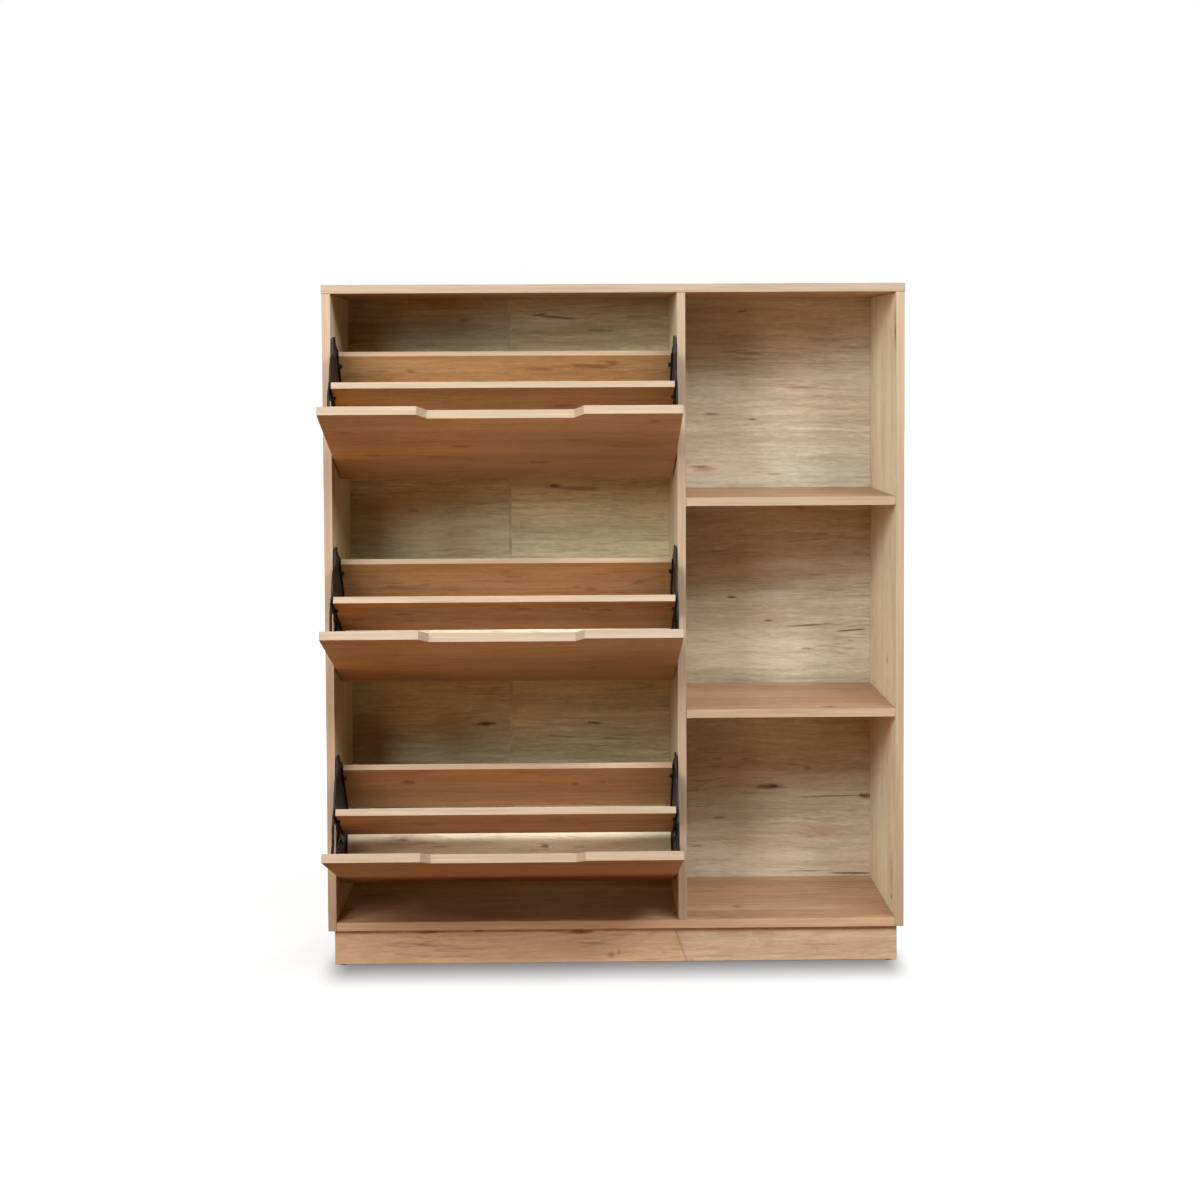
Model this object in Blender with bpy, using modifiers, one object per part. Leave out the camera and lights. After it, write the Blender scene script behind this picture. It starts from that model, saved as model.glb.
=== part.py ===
"""Shoe cabinet with three tilting double racks in the left bay and open shelves in the right bay.

The cabinet's front edges lie in one plane facing -Y, +Z is up, and the origin is at the middle of
the footprint with the racks open. Each rack is drawn in its own section plane: u runs backwards from
the door's outer face and w runs up from the door's lower edge, both as when the rack is shut. A
rack's parent empty stands on its pivot axis and turns the whole rack open.
"""

import math

import bmesh
import bpy
from mathutils import Matrix, Vector

# Driving dimensions, metres
WIDTH = 1.020
HEIGHT = 1.205
DEPTH = 0.300
BOARD = 0.015
TOP_OVERHANG = 0.001
LEFT_BAY = 0.605
SHELF_PITCH = 0.375
SHELF_BACK_GAP = 0.002
GAP = 0.0004
EDGE_BEVEL = 0.0005

GLIDE_HEIGHT = 0.003
GLIDE_RADIUS = 0.009
GLIDE_INSET = 0.014
PLINTH_HEIGHT = 0.062
PLINTH_SIDE_INSET = 0.0105
PLINTH_FRONT_INSET = 0.010

BACK_FACE = 0.2915
BACK_THICKNESS = 0.003
GROOVE_CLEARANCE = 0.0005
GROOVE_DEPTH = 0.005
STRIP_WEB = 0.0006
STRIP_SIDE_GAP = 0.0003
STRIP_FRONT_HALF = 0.0025
STRIP_BACK_HALF = 0.008
STRIP_FLANGE = 0.0005

RACKS = 3
RACK_PITCH = 0.370
RACK_OPEN_DEG = 70.0
RACK_BOARD = 0.012
RACK_BOARD_LENGTH = 0.591
DOOR_WIDTH = 0.601
DOOR_HEIGHT = 0.360
DOOR_LIFT = 0.008
NOTCH_TOP = 0.275
NOTCH_FLOOR = 0.243
NOTCH_DEPTH = 0.020
PIVOT_U = 0.036
PIVOT_W = 0.100
MID_TOP = (0.0936, 0.2257)
MID_LENGTH = 0.157
MID_LEAN_DEG = 5.0
REAR_TOP = (0.1864, 0.1348)
REAR_LENGTH = 0.116
REAR_LEAN_DEG = 27.0
FLOOR_BOTTOM = 0.015
FLOOR_END = 0.132

# Side frames of the racks: distances are from the bay's side wall
FIXED_PLATE = (0.0003, 0.0015)
FRAME_WEB = (0.0019, 0.0041)
FRAME_RIM = 0.0050
FRAME_RIB = 0.0066
FRAME_LEDGE = 0.0145
CHANNEL_WALL = 0.0018
WALL_STEP = 0.0002
RIM_WIDTH = 0.002
PIVOT_RADIUS = 0.0049
PIVOT_BORE = 0.00525
PIVOT_BOSS = 0.009
PIVOT_HEAD = (0.0069, 0.0084)
PIVOT_HEAD_RADIUS = 0.0075
PLATE_PIVOT_LOBE = 0.012
PLATE_SMALL_LOBE = 0.007
PLATE_FOOT_OFFSET = (0.004, -0.030)
STOP_RADIUS = 0.003
STOP_SLOT = 0.0034
STOP_REACH = 0.030
STOP_CLOSED_DEG = 40.0
UNION_OVERLAP = 0.0005
STUD_X = 0.0078
STUD_RADIUS = 0.0032
STUD_HEIGHT = 0.0024
STUD_TAPER = 0.86
EAR_REACH = 0.0118
EAR_HALF = 0.0042
MID_STUD_DROP = 0.038
REAR_STUD_DROP = 0.023
MID_CHANNEL_START = 0.022
REAR_CHANNEL_START = 0.008
FLOOR_CHANNEL_START = 0.0166
FOOT_REACH = 0.017
FOOT_THICKNESS = 0.002
LOWER_FOOT_TOP = 0.164
UPPER_FOOT = (0.188, 0.240)
ROUND_STEPS = 40
SMALL_ROUND_STEPS = 28
LOBE_STEPS = 32
STUD_STEPS = 20
SLOT_STEPS = 14
SLOT_END_STEPS = 10

# Outline of a side frame and of its window, in the rack's (u, w) section
FRAME_OUTLINE = (
    (0.0156, 0.0110),
    (0.1360, 0.0110),
    (0.1485, 0.0190),
    (0.2010, 0.1240),
    (0.1985, 0.1560),
    (0.2080, 0.1740),
    (0.1970, 0.1970),
    (0.1680, 0.1930),
    (0.1560, 0.2100),
    (0.1300, 0.2170),
    (0.1080, 0.2175),
    (0.0880, 0.2290),
    (0.0760, 0.2310),
    (0.0460, 0.2230),
    (0.0270, 0.2320),
    (0.0190, 0.2420),
    (0.0156, 0.2420),
)
FRAME_WINDOW = (
    (0.0240, 0.1700),
    (0.0420, 0.1580),
    (0.0700, 0.1320),
    (0.0790, 0.1310),
    (0.0845, 0.1800),
    (0.0850, 0.2120),
    (0.0740, 0.2150),
    (0.0460, 0.2080),
    (0.0300, 0.2150),
    (0.0240, 0.2150),
)

OAK = ((0.66, 0.47, 0.30, 1.0), 0.55, 0.0)
OAK_BACK = ((0.58, 0.45, 0.30, 1.0), 0.62, 0.0)
BLACK_PLASTIC = ((0.018, 0.018, 0.019, 1.0), 0.45, 0.0)
DARK_STEEL = ((0.05, 0.05, 0.052, 1.0), 0.38, 0.9)
STRIP_PLASTIC = ((0.42, 0.32, 0.21, 1.0), 0.5, 0.0)

# Derived positions
BOTTOM_TOP = GLIDE_HEIGHT + PLINTH_HEIGHT + BOARD
BOTTOM_UNDER = BOTTOM_TOP - BOARD
TOP_UNDER = HEIGHT - BOARD
SIDE_X = WIDTH / 2
BAY_LEFT = -SIDE_X + BOARD
BAY_RIGHT = BAY_LEFT + LEFT_BAY
SHELF_LEFT = BAY_RIGHT + BOARD
SHELF_RIGHT = SIDE_X - BOARD
BAY_MIDDLE = (BAY_LEFT + BAY_RIGHT) / 2
OPEN = math.radians(RACK_OPEN_DEG)
DOOR_REACH = PIVOT_U * math.cos(OPEN) + (DOOR_HEIGHT - PIVOT_W) * math.sin(OPEN) - PIVOT_U
FRONT_Y = (DOOR_REACH - DEPTH) / 2

for old in list(bpy.data.objects):
    bpy.data.objects.remove(old)

CABINET = bpy.data.collections.new("shoe_cabinet")
CUTTERS = bpy.data.collections.new("shoe_cabinet_cutters")
bpy.context.scene.collection.children.link(CABINET)
bpy.context.scene.collection.children.link(CUTTERS)


def make_material(name, look):
    """A Principled material from a (colour, roughness, metallic) look."""
    colour, roughness, metallic = look
    material = bpy.data.materials.new(name)
    material.use_nodes = True
    shader = material.node_tree.nodes["Principled BSDF"]
    shader.inputs["Base Color"].default_value = colour
    shader.inputs["Roughness"].default_value = roughness
    shader.inputs["Metallic"].default_value = metallic
    material.diffuse_color = colour
    return material


def add_node(name, mesh, look, parent=None, bevel=0.0):
    """Puts a mesh in the cabinet as one named piece with its own material."""
    mesh.name = name
    piece = bpy.data.objects.new(name, mesh)
    CABINET.objects.link(piece)
    mesh.materials.clear()
    mesh.materials.append(make_material(name, look))
    if parent is None:
        piece.location.y = FRONT_Y
    else:
        piece.parent = parent
    if bevel:
        edge = piece.modifiers.new("edge", "BEVEL")
        edge.width = bevel
        edge.segments = 1
        edge.limit_method = "ANGLE"
    return piece


def prism(section, low, high, axis):
    """A section of two-number points swept along a world axis from low to high.

    The section's numbers are (y, z) for axis X, (x, z) for axis Y and (x, y) for axis Z.
    """
    place = {
        "X": lambda a, b, t: (t, a, b),
        "Y": lambda a, b, t: (a, t, b),
        "Z": lambda a, b, t: (a, b, t),
    }[axis]
    shape = bmesh.new()
    base = shape.faces.new([shape.verts.new(place(a, b, low)) for a, b in section])
    swept = bmesh.ops.extrude_face_region(shape, geom=[base])
    step = Vector(place(0.0, 0.0, high - low))
    moved = [item for item in swept["geom"] if isinstance(item, bmesh.types.BMVert)]
    bmesh.ops.translate(shape, verts=moved, vec=step)
    bmesh.ops.recalc_face_normals(shape, faces=shape.faces)
    mesh = bpy.data.meshes.new("prism")
    shape.to_mesh(mesh)
    shape.free()
    return mesh


def rectangle(left, right, low, high):
    return [(left, low), (right, low), (right, high), (left, high)]


def plate(loops, near, far):
    """A flat plate in the (u, w) section with holes, standing between two x positions."""
    curve = bpy.data.curves.new("plate", "CURVE")
    curve.dimensions = "2D"
    curve.fill_mode = "BOTH"
    curve.extrude = abs(far - near) / 2
    for loop in loops:
        spline = curve.splines.new("POLY")
        spline.points.add(len(loop) - 1)
        for point, (u, w) in zip(spline.points, loop):
            point.co = (u - PIVOT_U, w - PIVOT_W, 0.0, 1.0)
        spline.use_cyclic_u = True
    holder = bpy.data.objects.new("plate", curve)
    CUTTERS.objects.link(holder)
    mesh = bpy.data.meshes.new_from_object(holder.evaluated_get(bpy.context.evaluated_depsgraph_get()))
    bpy.data.objects.remove(holder)
    bpy.data.curves.remove(curve)
    upright = Matrix(((0, 0, 1, 0), (1, 0, 0, 0), (0, 1, 0, 0), (0, 0, 0, 1)))
    mesh.transform(Matrix.Translation(((near + far) / 2, 0.0, 0.0)) @ upright)
    weld(mesh)
    return mesh


def weld(mesh):
    shape = bmesh.new()
    shape.from_mesh(mesh)
    bmesh.ops.remove_doubles(shape, verts=shape.verts, dist=0.00001)
    bmesh.ops.recalc_face_normals(shape, faces=shape.faces)
    shape.to_mesh(mesh)
    shape.free()


def joined(meshes):
    """The Boolean union of overlapping closed meshes, as one mesh."""
    base = bpy.data.objects.new("union", meshes[0])
    CUTTERS.objects.link(base)
    tools = []
    for mesh in meshes[1:]:
        tool = bpy.data.objects.new("tool", mesh)
        CUTTERS.objects.link(tool)
        tool.hide_render = True
        tool.display_type = "WIRE"
        tools.append(tool)
        union = base.modifiers.new("union", "BOOLEAN")
        union.operation = "UNION"
        union.solver = "EXACT"
        union.object = tool
    result = bpy.data.meshes.new_from_object(base.evaluated_get(bpy.context.evaluated_depsgraph_get()))
    for item in [base, *tools]:
        bpy.data.objects.remove(item)
    return result


def arc(centre, radius, start_deg, end_deg, steps):
    """Points of an arc in the (u, w) section, both ends included."""
    turn = [math.radians(start_deg + (end_deg - start_deg) * i / steps) for i in range(steps + 1)]
    return [(centre[0] + radius * math.cos(a), centre[1] + radius * math.sin(a)) for a in turn]


def circle(centre, radius, steps):
    return arc(centre, radius, 0.0, 360.0 * (steps - 1) / steps, steps - 1)


def inset(loop, distance):
    """The loop moved inwards by a distance, for a counter-clockwise loop."""
    moved = []
    for i, corner in enumerate(loop):
        before = Vector(corner) - Vector(loop[i - 1])
        after = Vector(loop[(i + 1) % len(loop)]) - Vector(corner)
        normals = [Vector((-edge.y, edge.x)).normalized() for edge in (before, after)]
        middle = (normals[0] + normals[1]).normalized()
        moved.append(tuple(Vector(corner) + middle * distance / middle.dot(normals[0])))
    return moved


def disc_along(centre, direction, radius, height, steps):
    """A closed disc in (x, y, z) about a direction, starting at its centre point."""
    shape = bmesh.new()
    bmesh.ops.create_cone(
        shape,
        cap_ends=True,
        segments=steps,
        radius1=radius,
        radius2=radius * STUD_TAPER,
        depth=height,
    )
    turned = Vector((0, 0, 1)).rotation_difference(Vector(direction)).to_matrix().to_4x4()
    middle = Vector(centre) + Vector(direction).normalized() * height / 2
    bmesh.ops.transform(shape, matrix=Matrix.Translation(middle) @ turned, verts=shape.verts)
    mesh = bpy.data.meshes.new("disc")
    shape.to_mesh(mesh)
    shape.free()
    return mesh


def leaning(top, lean_deg):
    """Upper front corner of a board that leans back at its top, and its down and backward directions."""
    lean = math.radians(lean_deg)
    down = Vector((-math.sin(lean), -math.cos(lean)))
    back = Vector((math.cos(lean), -math.sin(lean)))
    return Vector(top), down, back


def leaning_path(top, lean_deg, path):
    """Section points from (across, along) pairs measured on a leaning board from its upper front corner."""
    corner, down, back = leaning(top, lean_deg)
    return [tuple(corner + back * across + down * along) for across, along in path]


def leaning_slab(top, lean_deg, across, along):
    return leaning_path(top, lean_deg, rectangle(*across, *along))


def channel_section(top, length, lean_deg, start):
    """The U-shaped wall that a board's end stands in, open at the board's upper edge."""
    inner, outer = GAP, GAP + CHANNEL_WALL
    far_in, far_out = RACK_BOARD + GAP, RACK_BOARD + GAP + CHANNEL_WALL
    foot_in, foot_out = length + GAP, length + GAP + CHANNEL_WALL
    path = (
        (-outer, start),
        (-outer, foot_out),
        (far_out, foot_out),
        (far_out, start),
        (far_in, start),
        (far_in, foot_in),
        (-inner, foot_in),
        (-inner, start),
    )
    return leaning_path(top, lean_deg, path)


def pivot_local(section):
    return [(u - PIVOT_U, w - PIVOT_W) for u, w in section]


def carcass():
    groove_front = BACK_FACE - GROOVE_CLEARANCE
    groove_back = BACK_FACE + BACK_THICKNESS + GROOVE_CLEARANCE

    def grooved_upright(left, right, groove_left, groove_right):
        section = [(left, 0.0), (right, 0.0)]
        if groove_right:
            section += [
                (right, groove_front),
                (right - GROOVE_DEPTH, groove_front),
                (right - GROOVE_DEPTH, groove_back),
                (right, groove_back),
            ]
        section += [(right, DEPTH), (left, DEPTH)]
        if groove_left:
            section += [
                (left, groove_back),
                (left + GROOVE_DEPTH, groove_back),
                (left + GROOVE_DEPTH, groove_front),
                (left, groove_front),
            ]
        return section

    def grooved_flat(low, high, groove_level, groove_edge):
        edge = [
            (groove_front, groove_edge),
            (groove_front, groove_level),
            (groove_back, groove_level),
            (groove_back, groove_edge),
        ]
        if groove_edge == low:
            return [(0.0, low), *edge, (DEPTH, low), (DEPTH, high), (0.0, high)]
        return [(0.0, low), (DEPTH, low), (DEPTH, high), *reversed(edge), (0.0, high)]

    uprights = (
        ("side_panel_left", -SIDE_X, BAY_LEFT, BOTTOM_UNDER, False, True),
        ("side_panel_right", SHELF_RIGHT, SIDE_X, BOTTOM_UNDER, True, False),
        ("divider_panel", BAY_RIGHT, SHELF_LEFT, BOTTOM_TOP + GAP, True, True),
    )
    for name, left, right, low, groove_left, groove_right in uprights:
        section = grooved_upright(left, right, groove_left, groove_right)
        add_node(name, prism(section, low, TOP_UNDER - GAP, "Z"), OAK, bevel=EDGE_BEVEL)

    top = grooved_flat(TOP_UNDER, HEIGHT, TOP_UNDER + GROOVE_DEPTH, TOP_UNDER)
    half_top = SIDE_X + TOP_OVERHANG
    add_node("top_panel", prism(top, -half_top, half_top, "X"), OAK, bevel=EDGE_BEVEL)
    bottom = grooved_flat(BOTTOM_UNDER, BOTTOM_TOP, BOTTOM_TOP - GROOVE_DEPTH, BOTTOM_TOP)
    bottom_mesh = prism(bottom, BAY_LEFT + GAP, SHELF_RIGHT - GAP, "X")
    add_node("bottom_panel", bottom_mesh, OAK, bevel=EDGE_BEVEL)

    for name, level in (("shelf_lower", 1), ("shelf_upper", 2)):
        low = BOTTOM_TOP + level * SHELF_PITCH - BOARD
        section = rectangle(0.0, BACK_FACE - SHELF_BACK_GAP, low, low + BOARD)
        shelf = prism(section, SHELF_LEFT + GAP, SHELF_RIGHT - GAP, "X")
        add_node(name, shelf, OAK, bevel=EDGE_BEVEL)


def backs():
    reach = GROOVE_DEPTH - GROOVE_CLEARANCE
    low = BOTTOM_TOP - reach
    high = TOP_UNDER + reach
    seam = STRIP_WEB / 2 + STRIP_SIDE_GAP
    spans = (
        ("back_panel_left", BAY_LEFT - reach, BAY_MIDDLE - seam),
        ("back_panel_middle", BAY_MIDDLE + seam, BAY_RIGHT + reach),
        ("back_panel_right", SHELF_LEFT - reach, SHELF_RIGHT + reach),
    )
    for name, left, right in spans:
        section = rectangle(left, right, BACK_FACE, BACK_FACE + BACK_THICKNESS)
        add_node(name, prism(section, low, high, "Z"), OAK_BACK)

    front_in = BACK_FACE - STRIP_SIDE_GAP
    back_in = BACK_FACE + BACK_THICKNESS + STRIP_SIDE_GAP
    half_web = STRIP_WEB / 2
    right_side = [
        (STRIP_FRONT_HALF, front_in - STRIP_FLANGE),
        (STRIP_FRONT_HALF, front_in),
        (half_web, front_in),
        (half_web, back_in),
        (STRIP_BACK_HALF, back_in),
        (STRIP_BACK_HALF, back_in + STRIP_FLANGE),
    ]
    left_side = [(-x, y) for x, y in reversed(right_side)]
    section = [(BAY_MIDDLE + x, y) for x, y in right_side + left_side]
    strip = prism(section, BOTTOM_TOP + GAP, TOP_UNDER - GAP, "Z")
    add_node("back_joint_strip", strip, STRIP_PLASTIC)


def plinth():
    low = GLIDE_HEIGHT
    high = BOTTOM_UNDER - GAP
    half = SIDE_X - PLINTH_SIDE_INSET
    front = PLINTH_FRONT_INSET
    back = DEPTH - PLINTH_FRONT_INSET
    for name, near in (("plinth_front", front), ("plinth_rear", back - BOARD)):
        section = rectangle(-half, half, near, near + BOARD)
        add_node(name, prism(section, low, high, "Z"), OAK, bevel=EDGE_BEVEL)
    divider_middle = (BAY_RIGHT + SHELF_LEFT) / 2
    ends = (
        ("plinth_end_left", -half),
        ("plinth_end_right", half - BOARD),
        ("plinth_cross", divider_middle - BOARD / 2),
    )
    for name, left in ends:
        section = rectangle(left, left + BOARD, front + BOARD + GAP, back - BOARD - GAP)
        add_node(name, prism(section, low, high, "Z"), OAK, bevel=EDGE_BEVEL)

    for depth_name, y in (("front", front + GLIDE_INSET), ("rear", back - GLIDE_INSET)):
        for side_name, x in (("left", -half + GLIDE_INSET), ("right", half - GLIDE_INSET)):
            height = GLIDE_HEIGHT - GAP
            foot = disc_along((x, y, height), (0, 0, -1), GLIDE_RADIUS, height, LOBE_STEPS)
            add_node(f"glide_{depth_name}_{side_name}", foot, BLACK_PLASTIC)


def hull_of(circles):
    """The outline around a set of (u, w, radius) circles, counter-clockwise."""
    points = sorted({p for u, w, radius in circles for p in circle((u, w), radius, LOBE_STEPS)})

    def half_hull(ordered):
        chain = []
        for p in ordered:
            while len(chain) > 1 and cross(chain[-2], chain[-1], p) <= 1e-12:
                chain.pop()
            chain.append(p)
        return chain[:-1]

    def cross(a, b, c):
        return (b[0] - a[0]) * (c[1] - a[1]) - (b[1] - a[1]) * (c[0] - a[0])

    return half_hull(points) + half_hull(points[::-1])


def fixed_plate(side):
    """The plate on the bay's wall with the pivot stub and the stop stub that the frame turns on."""
    stop_angle = math.radians(STOP_CLOSED_DEG)
    stop = (PIVOT_U + STOP_REACH * math.cos(stop_angle), PIVOT_W + STOP_REACH * math.sin(stop_angle))
    pivot = (PIVOT_U, PIVOT_W)
    foot = (PIVOT_U + PLATE_FOOT_OFFSET[0], PIVOT_W + PLATE_FOOT_OFFSET[1])
    outline = hull_of(((*pivot, PLATE_PIVOT_LOBE), (*stop, PLATE_SMALL_LOBE), (*foot, PLATE_SMALL_LOBE)))
    wall, inner = FIXED_PLATE
    root = inner - UNION_OVERLAP
    levels = (
        (outline, wall, inner),
        (circle(pivot, PIVOT_RADIUS, ROUND_STEPS), root, PIVOT_HEAD[0] + UNION_OVERLAP),
        (circle(pivot, PIVOT_HEAD_RADIUS, ROUND_STEPS), *PIVOT_HEAD),
        (circle(stop, STOP_RADIUS, SMALL_ROUND_STEPS), root, FRAME_RIB - UNION_OVERLAP),
    )
    return joined([plate([loop], side * near, side * far) for loop, near, far in levels])


def slot_outline():
    """The arc slot that the stop stub runs in, around the pivot."""
    centre = (PIVOT_U, PIVOT_W)
    start = STOP_CLOSED_DEG - RACK_OPEN_DEG
    end = STOP_CLOSED_DEG
    first = arc(centre, STOP_REACH, start, start, 1)[0]
    last = arc(centre, STOP_REACH, end, end, 1)[0]
    return [
        *arc(centre, STOP_REACH + STOP_SLOT, start, end, SLOT_STEPS),
        *arc(last, STOP_SLOT, end, end + 180.0, SLOT_END_STEPS)[1:-1],
        *arc(centre, STOP_REACH - STOP_SLOT, end, start, SLOT_STEPS),
        *arc(first, STOP_SLOT, start + 180.0, start + 360.0, SLOT_END_STEPS)[1:-1],
    ]


def side_frame(side):
    """One moulded side frame: web, rims, the board channels with their ledges, door feet and fixing studs."""
    web_near, web_far = FRAME_WEB
    root = web_near + (web_far - web_near) / 2
    pivot = (PIVOT_U, PIVOT_W)
    bore = circle(pivot, PIVOT_BORE, ROUND_STEPS)
    floor_low, floor_high = FLOOR_BOTTOM - GAP, FLOOR_BOTTOM + RACK_BOARD + GAP
    floor_in, floor_out = FLOOR_END + GAP, FLOOR_END + GAP + CHANNEL_WALL
    floor_channel = [
        (FLOOR_CHANNEL_START, floor_low - CHANNEL_WALL),
        (floor_out, floor_low - CHANNEL_WALL),
        (floor_out, floor_high + CHANNEL_WALL),
        (FLOOR_CHANNEL_START, floor_high + CHANNEL_WALL),
        (FLOOR_CHANNEL_START, floor_high),
        (floor_in, floor_high),
        (floor_in, floor_low),
        (FLOOR_CHANNEL_START, floor_low),
    ]
    ledge_low, ledge_high = floor_low - CHANNEL_WALL + WALL_STEP, floor_low - WALL_STEP
    floor_ledge = rectangle(FLOOR_CHANNEL_START + WALL_STEP, floor_out - WALL_STEP, ledge_low, ledge_high)
    foot = (BOARD + GAP, BOARD + GAP + FOOT_THICKNESS)
    layers = [
        ([FRAME_OUTLINE, FRAME_WINDOW, bore, slot_outline()], web_near, web_far),
        ([FRAME_OUTLINE, inset(FRAME_OUTLINE, RIM_WIDTH)], root, FRAME_RIM),
        ([inset(FRAME_WINDOW, -RIM_WIDTH), FRAME_WINDOW], root, FRAME_RIM),
        ([circle(pivot, PIVOT_BOSS, ROUND_STEPS), bore], root, FRAME_RIB),
        ([floor_channel], root, FRAME_RIB),
        ([floor_ledge], root, FRAME_LEDGE),
        ([rectangle(*foot, floor_high + CHANNEL_WALL / 2, LOWER_FOOT_TOP)], root, FOOT_REACH),
        ([rectangle(*foot, *UPPER_FOOT)], root, FOOT_REACH),
    ]
    front_wall = (-GAP - CHANNEL_WALL + WALL_STEP, -GAP - WALL_STEP)
    rear_wall = (RACK_BOARD + GAP + WALL_STEP, RACK_BOARD + GAP + CHANNEL_WALL - WALL_STEP)
    studs = []
    for top, length, lean_deg, start, drop in (
        (MID_TOP, MID_LENGTH, MID_LEAN_DEG, MID_CHANNEL_START, MID_STUD_DROP),
        (REAR_TOP, REAR_LENGTH, REAR_LEAN_DEG, REAR_CHANNEL_START, REAR_STUD_DROP),
    ):
        ledge = leaning_slab(top, lean_deg, rear_wall, (start + WALL_STEP, length + GAP + WALL_STEP))
        ear = leaning_slab(top, lean_deg, front_wall, (drop - EAR_HALF, drop + EAR_HALF))
        layers += [
            ([channel_section(top, length, lean_deg, start)], root, FRAME_RIB),
            ([ledge], root, FRAME_LEDGE),
            ([ear], root, EAR_REACH),
        ]
        corner, down, back = leaning(top, lean_deg)
        seat = corner + down * drop - back * (GAP + CHANNEL_WALL / 2)
        centre = (side * STUD_X, seat.x - PIVOT_U, seat.y - PIVOT_W)
        reach = STUD_HEIGHT + CHANNEL_WALL / 2
        studs.append(disc_along(centre, (0, -back.x, -back.y), STUD_RADIUS, reach, STUD_STEPS))
    return joined([plate(loops, side * near, side * far) for loops, near, far in layers] + studs)


def racks():
    for number in range(1, RACKS + 1):
        base = BOTTOM_TOP + (RACKS - number) * RACK_PITCH + DOOR_LIFT
        pivot = bpy.data.objects.new(f"rack_{number}_pivot", None)
        CABINET.objects.link(pivot)
        pivot.location = (BAY_MIDDLE, FRONT_Y + PIVOT_U, base + PIVOT_W)
        pivot.rotation_euler = (OPEN, 0.0, 0.0)

        half_door = DOOR_WIDTH / 2
        low, high = -PIVOT_W, DOOR_HEIGHT - PIVOT_W
        door = [
            (-half_door, low),
            (half_door, low),
            (half_door, high),
            (NOTCH_TOP / 2, high),
            (NOTCH_FLOOR / 2, high - NOTCH_DEPTH),
            (-NOTCH_FLOOR / 2, high - NOTCH_DEPTH),
            (-NOTCH_TOP / 2, high),
            (-half_door, high),
        ]
        door_mesh = prism(door, -PIVOT_U, BOARD - PIVOT_U, "Y")
        add_node(f"rack_{number}_door", door_mesh, OAK, pivot, EDGE_BEVEL)

        half_board = RACK_BOARD_LENGTH / 2
        sections = (
            ("mid_board", leaning_slab(MID_TOP, MID_LEAN_DEG, (0.0, RACK_BOARD), (0.0, MID_LENGTH))),
            ("rear_board", leaning_slab(REAR_TOP, REAR_LEAN_DEG, (0.0, RACK_BOARD), (0.0, REAR_LENGTH))),
            ("floor_board", rectangle(BOARD + GAP, FLOOR_END, FLOOR_BOTTOM, FLOOR_BOTTOM + RACK_BOARD)),
        )
        for name, section in sections:
            mesh = prism(pivot_local(section), -half_board, half_board, "X")
            add_node(f"rack_{number}_{name}", mesh, OAK, pivot, EDGE_BEVEL)

        for side_name, wall_x, side in (("left", -LEFT_BAY / 2, 1), ("right", LEFT_BAY / 2, -1)):
            frame = side_frame(side)
            frame.transform(Matrix.Translation((wall_x, 0.0, 0.0)))
            add_node(f"rack_{number}_frame_{side_name}", frame, BLACK_PLASTIC, pivot)
            fixed = fixed_plate(side)
            fixed.transform(Matrix.Translation((BAY_MIDDLE + wall_x, PIVOT_U, base + PIVOT_W)))
            add_node(f"pivot_plate_{number}_{side_name}", fixed, DARK_STEEL)


carcass()
backs()
plinth()
racks()
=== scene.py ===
import math

import bpy
from mathutils import Matrix, Vector


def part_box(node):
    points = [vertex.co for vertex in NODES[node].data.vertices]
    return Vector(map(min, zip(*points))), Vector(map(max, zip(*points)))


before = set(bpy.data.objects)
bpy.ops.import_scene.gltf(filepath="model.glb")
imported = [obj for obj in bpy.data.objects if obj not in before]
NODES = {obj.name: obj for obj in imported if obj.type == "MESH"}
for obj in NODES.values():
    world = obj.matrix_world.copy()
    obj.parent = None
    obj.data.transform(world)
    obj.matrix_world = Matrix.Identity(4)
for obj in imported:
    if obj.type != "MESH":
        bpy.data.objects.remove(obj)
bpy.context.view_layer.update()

# ---------------------------------------------------------------- camera
# The camera that fits the photo's straight edges: place in metres, pitch (down), yaw (to the right) and
# roll in radians, lens and sensor in millimetres, and the shift as a share of the picture's width
CAMERA_PLACE = Vector((-0.0807, -3.4530, 1.0538))
CAMERA_PITCH = 0.04381
CAMERA_YAW = 0.01619
CAMERA_ROLL = 0.00478
CAMERA_LENS = 58.454
CAMERA_SENSOR = 36.0
CAMERA_SHIFT_Y = -0.12


def make_camera():
    cos_p, sin_p = math.cos(CAMERA_PITCH), math.sin(CAMERA_PITCH)
    forward = Vector((math.sin(CAMERA_YAW) * cos_p, math.cos(CAMERA_YAW) * cos_p, -sin_p))
    level = Vector((math.cos(CAMERA_YAW), -math.sin(CAMERA_YAW), 0.0))
    down = forward.cross(level)
    cos_r, sin_r = math.cos(CAMERA_ROLL), math.sin(CAMERA_ROLL)
    right = cos_r * level + sin_r * down
    below = cos_r * down - sin_r * level
    data = bpy.data.cameras.new("camera")
    data.lens = CAMERA_LENS
    data.sensor_width = CAMERA_SENSOR
    data.shift_y = CAMERA_SHIFT_Y
    camera = bpy.data.objects.new("camera", data)
    bpy.context.scene.collection.objects.link(camera)
    turn = Matrix((right, -below, -forward)).transposed().to_4x4()
    camera.matrix_world = Matrix.Translation(CAMERA_PLACE) @ turn
    bpy.context.scene.camera = camera


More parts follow.
